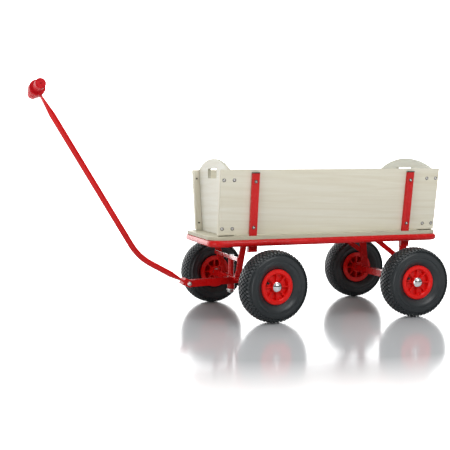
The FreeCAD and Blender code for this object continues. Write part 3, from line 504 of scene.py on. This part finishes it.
# Half outlines of the blocks, (across, around) from the row's middle; the other half mirrors it.
DIAMOND = [(-0.0068, 0.0014), (-0.0016, 0.0059), (0.0016, 0.0059), (0.0068, 0.0014)]
SHOULDER = [(-0.0066, 0.0016), (-0.0010, 0.0054), (0.0080, 0.0048), (0.0105, 0.0026)]
BETWEEN = [(-0.0030, 0.0016), (-0.0004, 0.0042), (0.0016, 0.0042), (0.0036, 0.0020)]
# A block's top, bevel and foot: share of the outline, and how deep it lies.
BLOCK_LEVELS = ((0.78, 0.0), (0.90, 0.0006), (1.05, TREAD_DEPTH + 0.0006))
# Quads larger than this, in square metres, are shaded smooth: the floor of the grooves, the
# flank next to the rim and the longer sides of the blocks. All other faces are flat facets.
SMOOTH_FACE_AREA = 0.00003

VALVE_ANGLE = math.radians(22.5)
VALVE_RADIUS = 0.040
STEM_PROFILE = [
    (0.0, 0.0060), (0.0056, 0.0060), (0.0056, 0.0095), (0.0068, 0.0142), (0.0066, 0.0152),
    (0.0042, 0.0165), (0.0037, 0.0230), (0.0036, 0.0265), (0.0, 0.0265),
]
CAP_PROFILE = [
    (0.0, 0.0240), (0.0040, 0.0240), (0.0042, 0.0246), (0.0042, 0.0300), (0.0036, 0.0310),
    (0.0, 0.0312),
]


def crown(distance):
    """Point and outward normal of the tread's surface at a signed distance from its middle."""
    sign = -1 if distance < 0 else 1
    left = abs(distance)
    for index in range(len(CROWN) - 1):
        step = CROWN[index + 1] - CROWN[index]
        if left <= step.length or index == len(CROWN) - 2:
            spot = CROWN[index] + step.normalized() * left
            normal = Vector((step.y, -step.x)).normalized()
            return Vector((spot.x, spot.y * sign)), Vector((normal.x, normal.y * sign))
        left -= step.length


def block(outline, row, angle):
    """One tread block on a row at a distance across the tread, at an angle round the tyre."""
    rings = []
    for scale, sink in BLOCK_LEVELS:
        for across, around in outline:
            spot, normal = crown(row + across * scale)
            place = spot - normal * sink
            turn = angle + around * scale / TYRE_RADIUS
            rings.append(Vector((place.x * math.cos(turn), place.y, place.x * math.sin(turn))))
    count = len(outline)
    faces = [list(range(count))]
    for level in range(len(BLOCK_LEVELS) - 1):
        for index in range(count):
            after = (index + 1) % count
            faces.append([level * count + index, level * count + after,
                          (level + 1) * count + after, (level + 1) * count + index])
    return rings, faces


def outline_of(half, sign=1):
    """Whole outline of a block, turned over across the tread where the sign is negative."""
    mirrored = [(across, -around) for across, around in reversed(half)]
    whole = mirrored[-1:] + half + mirrored[:-1]
    return [(sign * across, around) for across, around in whole]


def tread():
    """All the blocks of one tyre: staggered diamonds, and longer blocks that wrap the shoulders."""
    pitch = 2 * math.pi / TREAD_COUNT
    diamond = outline_of(DIAMOND)
    parts = []
    for row in range(TREAD_ROWS):
        offset = row - (TREAD_ROWS - 1) / 2
        stagger = STAGGER if row % 2 else 0.0
        for turn in range(TREAD_COUNT):
            parts.append(block(diamond, offset * TREAD_STEP, pitch * (turn + stagger)))
    edge = (TREAD_ROWS + 1) / 2 * TREAD_STEP
    for sign in (-1, 1):
        shoulder = outline_of(SHOULDER, sign)
        between = outline_of(BETWEEN, sign)
        for turn in range(TREAD_COUNT):
            parts.append(block(shoulder, sign * edge, pitch * (turn + STAGGER)))
            parts.append(block(between, sign * (edge + OUTER_STEP), pitch * turn))
    return parts


def carcass():
    """The tyre under its blocks: sidewalls with raised rings, and the floor of the grooves."""
    half = []
    for index, (radius, out) in enumerate(PROFILE):
        inside = index - CROWN_START
        sink = TREAD_DEPTH * max(0.0, min(1.0, inside / GROOVE_START_POINTS))
        tilt = SHOULDER_SINK if inside < SHOULDER_POINTS else CROWN_SINK
        half.append((radius - tilt.x * sink, max(out - tilt.y * sink, 0.0)))
    other = [(radius, -out) for radius, out in reversed(half[:-1])]
    return lathe(half + other, TYRE_TURNS, Vector((0, 0, 0)), Vector((0, 1, 0)),
                 Vector((1, 0, 0)))


def wheel_axes(body):
    """Hub centre, outboard direction and forward direction of one wheel."""
    joint = joints[body + "_spin"]
    outboard = Vector(joint["axis"]) * (-1 if "left" in body else 1)
    forward = Vector((outboard.y, -outboard.x, 0))
    return Vector(joint["pos_m"]), outboard, forward


tyre_mesh = make_mesh("treaded_tyre_" + WHEELS[0], *merge([carcass()] + tread()), RUBBER)
for polygon in tyre_mesh.polygons:
    polygon.use_smooth = len(polygon.vertices) == 4 and polygon.area > SMOOTH_FACE_AREA

for place in WHEELS:
    body = "wheel_" + place
    hub, outboard, forward = wheel_axes(body)
    tyre = add_object("treaded_tyre_" + place, tyre_mesh)
    tyre.matrix_world = from_axes(hub, forward, outboard, Vector((0, 0, 1)))
    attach(tyre, body)
    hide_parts("tyre_" + place)

    seat = (hub + forward * (VALVE_RADIUS * math.cos(VALVE_ANGLE))
            + Vector((0, 0, VALVE_RADIUS * math.sin(VALVE_ANGLE))))
    for name, profile in (("valve_stem_", STEM_PROFILE), ("valve_cap_", CAP_PROFILE)):
        points, faces = lathe(profile, ROUND_TURNS, seat, outboard, forward)
        piece = add_piece(name + place, points, faces, BLACK_PLASTIC)
        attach(piece, body)


# ---------------------------------------------------------------- washers and weld beads
# A head lies within HEAD_DEPTH of a fastener's outermost point, and its rim is what lies
# beyond RIM_SHARE of its radius.
HEAD_DEPTH = 0.005
RIM_SHARE = 0.9
# A washer's section: distance out from the head's rim, and height over its underside.
WASHER_PROFILE = [(-0.0010, 0.0004), (-0.0003, 0.0009), (0.0001, 0.0008), (0.0004, 0.0004),
                  (0.0005, 0.0)]

BEAD_RADIUS = 0.0017
BEAD_STEP = 0.0016
BEAD_SIDES = 8
# The bead's swellings: share of its radius, radians per ring, and how much the seed shifts them.
RIPPLES = ((0.20, 2.1, 1), (0.12, 0.7, 3))
# The beads run almost level and this direction is steep, so it gives every ring of a bead a side.
SKEW = Vector((0.3, 0.2, 1.0))
LEVEL_SLACK = 0.0012
TUBE_RIM_SHARE = 0.95
WELDED = (("rear_legs", (min, max)), ("head_struts", (min,)), ("head_tube", (min,)))
POINT_DIGITS = 5


def loose_parts(name):
    """Lists of the world points of every separate solid in a node."""
    piece = nodes[name]
    places = [piece.matrix_world @ vertex.co for vertex in piece.data.vertices]
    keys = [tuple(round(value, POINT_DIGITS) for value in place) for place in places]
    parent = {key: key for key in keys}

    def root(key):
        while parent[key] != key:
            parent[key] = parent[parent[key]]
            key = parent[key]
        return key

    for polygon in piece.data.polygons:
        first = root(keys[polygon.vertices[0]])
        for index in polygon.vertices[1:]:
            parent[root(keys[index])] = first
    groups = {}
    for key in parent:
        groups.setdefault(root(key), []).append(Vector(key))
    return list(groups.values())


def screw_heads(side, outward):
    """Centre and radius of the rim of every screw and bolt head on one side."""
    heads = []
    for points in loose_parts("side_fasteners_" + side):
        outer = max(point.dot(outward) for point in points)
        head = [point for point in points if point.dot(outward) > outer - HEAD_DEPTH]
        middle = middle_of(head)
        flat = [(point - middle) - outward * (point - middle).dot(outward) for point in head]
        radius = max(spot.length for spot in flat)
        rim = min(point.dot(outward) for point, spot in zip(head, flat)
                  if spot.length > RIM_SHARE * radius)
        heads.append((middle + outward * (rim - middle.dot(outward)), radius))
    return heads


def add_washers(side):
    """Thin cup washers under the heads of one side's screws and bolts, dark as painted shade round
    each head.
    """
    outward = side_normal(side)
    parts = []
    for centre, radius in screw_heads(side, outward):
        profile = [(radius + out, height) for out, height in WASHER_PROFILE]
        parts.append(lathe(profile, ROUND_TURNS, centre, outward, ALONG))
    washers = add_piece("cup_washers_" + side, *merge(parts), WASHER_STEEL_PAINTED_SHADE)
    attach(washers, "side_" + side)


def bead(corners, seed):
    """Rippled weld bead around a closed loop of corners."""
    rings = []
    for index, start in enumerate(corners):
        run = corners[(index + 1) % len(corners)] - start
        steps = max(2, round(run.length / BEAD_STEP))
        for step in range(steps):
            rings.append(start + run * (step / steps))
    points = []
    faces = []
    for index, centre in enumerate(rings):
        following = (index + 1) % len(rings)
        along = (rings[following] - rings[index - 1]).normalized()
        across = along.cross(SKEW).normalized()
        lift = along.cross(across).normalized()
        swell = BEAD_RADIUS * sum((share * math.sin(rate * index + shift * seed)
                                   for share, rate, shift in RIPPLES), 1.0)
        for turn in range(BEAD_SIDES):
            angle = 2 * math.pi * turn / BEAD_SIDES
            after = (turn + 1) % BEAD_SIDES
            points.append(centre + (across * math.cos(angle) + lift * math.sin(angle)) * swell)
            faces.append([index * BEAD_SIDES + turn, index * BEAD_SIDES + after,
                          following * BEAD_SIDES + after, following * BEAD_SIDES + turn])
    return points, faces


def outline_at(points, level):
    """Corners, in order round their middle, of the points that lie at one height."""
    corners = [point for point in points if abs(point.z - level) < LEVEL_SLACK]
    middle = middle_of(corners)
    return sorted(corners, key=lambda point: math.atan2(point.y - middle.y, point.x - middle.x))


def outer_rim(corners):
    """The corners of a tube's end that lie on its outside."""
    middle = middle_of(corners)
    reach = max((corner - middle).length for corner in corners)
    return [corner for corner in corners if (corner - middle).length > TUBE_RIM_SHARE * reach]


def add_welds():
    """Painted weld beads on the legs' feet and heads, the struts' feet and the head tube's foot."""
    parts = []
    for name, ends in WELDED:
        for seed, points in enumerate(loose_parts(name)):
            for end in ends:
                level = end(point.z for point in points)
                corners = outline_at(points, level)
                if name == "head_tube":
                    corners = outer_rim(corners)
                parts.append(bead(corners, seed + level))
    welds = add_piece("weld_beads", *merge(parts), RED_STEEL)
    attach(welds, "frame")


for side in SIDES:
    add_washers(side)
add_welds()


# ---------------------------------------------------------------- stage, light and camera
FLOOR_HALF = 40.0
FLOOR_IOR = 1.7
FLOOR_ROUGHNESS = (0.12, 0.16)
# The fades run out from the origin in ovals, longer along X by the inverse of this scale.
FLOOR_OVAL = (0.62, 1.0, 1.0)
MIRROR_FADE = (0.82, 1.16)
MIRROR_COLOUR = (0.55, 0.565, 0.58)
OUTER_COLOUR = (0.80, 0.80, 0.80)
OUTER_GLOW = 0.35
FAR_FADE = (1.3, 4.0)
FAR_GLOW = 0.45

BACKDROP_LEVEL = 3.0
BACKDROP_FADE = (0.35, 0.80)
BACKDROP_TOP_FADE = (0.28, 0.60)
BACKDROP_TOP_SHARE = 0.06
DIM_LEVEL = 0.10
CEILING_LEVEL = 0.55
CEILING_FADE = (0.1, 0.8)

# Name, place, point aimed at, width and height in metres, and power in watts.
LIGHTS = (
    ("front_box", (-5.4, -2.3, 1.3), (-0.2, 0, 0.3), 2.2, 1.8, 82),
    ("camera_box", (0.4, -3.2, 2.3), (0, 0, 0.35), 1.6, 0.8, 42),
    ("top_box", (0.1, 0.0, 3.0), (0, 0, 0.2), 2.4, 1.2, 40),
)

CAMERA_PLACE = (-1.21928, -2.78898, 0.5215)
YAW = math.radians(17.02)
PITCH = math.radians(3.69)
ROLL = math.radians(0.46)
LENS = 61.71
SENSOR_WIDTH = 36.0
CLIP_END = 200


def stage_floor():
    """Pale glossy floor, a mirror around the wagon that fades to plain white further out."""
    recipe = Recipe("studio_floor", IOR=FLOOR_IOR, Emission_Color=(1, 1, 1, 1))
    around = recipe.node("ShaderNodeVectorMath", {0: recipe.stretched(FLOOR_OVAL)},
                         operation="LENGTH").outputs["Value"]
    outer = recipe.spread(around, MIRROR_FADE, (0.0, 1.0))
    recipe.link(recipe.mix(outer, MIRROR_COLOUR, OUTER_COLOUR), "Base Color")
    distant = recipe.spread(around, FAR_FADE, (0.0, FAR_GLOW))
    glow = recipe.math("ADD", recipe.math("MULTIPLY", outer, OUTER_GLOW), distant)
    recipe.link(glow, "Emission Strength")
    recipe.roughness(recipe.noise(3.0), FLOOR_ROUGHNESS)
    corners = [(-FLOOR_HALF, -FLOOR_HALF, 0), (FLOOR_HALF, -FLOOR_HALF, 0),
               (FLOOR_HALF, FLOOR_HALF, 0), (-FLOOR_HALF, FLOOR_HALF, 0)]
    mesh = make_mesh("floor", corners, [(0, 1, 2, 3)], recipe.material, smooth=False)
    floor = add_object("floor", mesh)


def studio_world():
    """Dim studio, plain white to look at, with a soft ceiling and a bright backdrop behind."""
    world = bpy.data.worlds.new("studio")
    world.use_nodes = True
    tree = world.node_tree
    way = tree.nodes.new("ShaderNodeTexCoord")
    split = tree.nodes.new("ShaderNodeSeparateXYZ")
    tree.links.new(way.outputs["Generated"], split.inputs["Vector"])

    def fade(source, between, to):
        made = tree.nodes.new("ShaderNodeMapRange")
        made.interpolation_type = "SMOOTHSTEP"
        tree.links.new(source, made.inputs["Value"])
        for key, value in zip(("From Min", "From Max", "To Min", "To Max"), between + to):
            made.inputs[key].default_value = value
        return made.outputs["Result"]

    def join(operation, first, second):
        made = tree.nodes.new("ShaderNodeMath")
        made.operation = operation
        tree.links.new(first, made.inputs[0])
        tree.links.new(second, made.inputs[1])
        return made.outputs[0]

    behind = fade(split.outputs["Y"], BACKDROP_FADE, (0.0, BACKDROP_LEVEL))
    low = fade(split.outputs["Z"], BACKDROP_TOP_FADE, (1.0, BACKDROP_TOP_SHARE))
    ceiling = fade(split.outputs["Z"], CEILING_FADE, (DIM_LEVEL, CEILING_LEVEL))
    lit = join("ADD", join("MULTIPLY", behind, low), ceiling)
    seen = tree.nodes.new("ShaderNodeLightPath").outputs["Is Camera Ray"]
    background = tree.nodes["Background"]
    background.inputs["Color"].default_value = (1, 1, 1, 1)
    tree.links.new(join("MAXIMUM", lit, seen), background.inputs["Strength"])
    bpy.context.scene.world = world


def soft_light(name, place, target, width, height, power):
    """Rectangular soft box aimed at a point."""
    light = bpy.data.lights.new(name, "AREA")
    light.shape = "RECTANGLE"
    light.size = width
    light.size_y = height
    light.energy = power
    holder = add_object(name, light)
    holder.location = place
    aim = Vector(target) - Vector(place)
    holder.rotation_euler = aim.to_track_quat("-Z", "Y").to_euler()


def photo_camera():
    """Camera at the photograph's viewing angle."""
    data = bpy.data.cameras.new("camera")
    data.sensor_width = SENSOR_WIDTH
    data.lens = LENS
    data.clip_end = CLIP_END
    aim = Vector((math.sin(YAW) * math.cos(PITCH), math.cos(YAW) * math.cos(PITCH),
                  -math.sin(PITCH)))
    level = Vector((math.cos(YAW), -math.sin(YAW), 0))
    head = level.cross(aim)
    across = level * math.cos(ROLL) + head * math.sin(ROLL)
    upwards = -level * math.sin(ROLL) + head * math.cos(ROLL)
    camera = add_object("camera", data)
    camera.matrix_world = from_axes(CAMERA_PLACE, across, upwards, -aim)
    bpy.context.scene.camera = camera


stage_floor()
studio_world()
for settings in LIGHTS:
    soft_light(*settings)
bpy.context.scene.view_settings.view_transform = "Standard"
photo_camera()
